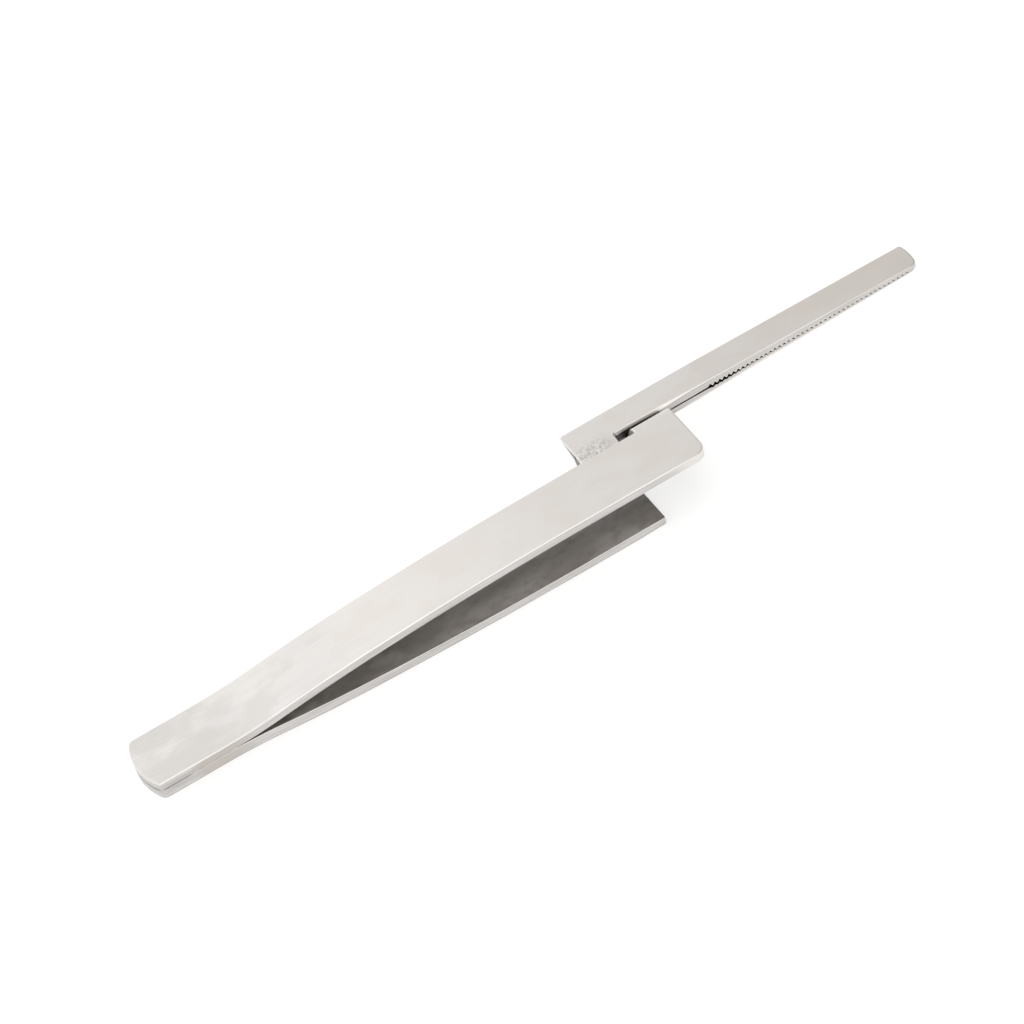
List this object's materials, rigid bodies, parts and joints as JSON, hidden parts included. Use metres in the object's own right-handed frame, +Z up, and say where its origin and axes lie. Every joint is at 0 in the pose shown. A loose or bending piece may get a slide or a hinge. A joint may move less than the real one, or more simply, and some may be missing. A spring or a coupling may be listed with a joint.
{
  "type": "cross-action forceps",
  "caption": "Self-closing cross-action forceps of sheet steel: wide sprung handles, offset crossovers and long narrow toothed jaws that open when the handles are squeezed.",
  "frame": {"origin": "centre of the bounding box, in the plane on which the closed jaws meet", "axes": "+X from the welded rear end to the jaw tips, +Y across the handles towards the jaws, +Z up from the lower handle to the upper handle"},
  "size_m": [0.1564, 0.0238, 0.01],
  "materials": {
    "blade_steel": "satin brushed stainless steel, brush lines along and across the blades, bright polished edges",
    "weld_metal": "stainless weld metal, ground flush"
  },
  "bodies": {
    "tail": {"upper_tail": "blade_steel", "lower_tail": "blade_steel", "spot_welds": "weld_metal", "crotch_weld": "weld_metal"},
    "upper_blade": {"upper_handle": "blade_steel", "front_crossover": "blade_steel", "lower_jaw": "blade_steel"},
    "lower_blade": {"lower_handle": "blade_steel", "rear_crossover": "blade_steel", "upper_jaw": "blade_steel"}
  },
  "joints": [
    {"name": "upper_flex", "type": "hinge", "parent": "tail", "child": "upper_blade", "pos_m": [-0.04081, 0, 0.00276], "axis": [0, 1, 0], "range_deg": [0, 3.2], "stiffness_Nm_per_rad": 14, "springref_deg": -0.97},
    {"name": "lower_flex", "type": "hinge", "parent": "tail", "child": "lower_blade", "pos_m": [-0.04081, 0, -0.00276], "axis": [0, -1, 0], "range_deg": [0, 3.2], "stiffness_Nm_per_rad": 14, "springref_deg": -0.97}
  ],
  "couplings": [
    {"joint": "lower_flex", "follows": "upper_flex", "ratio": 1}
  ]
}
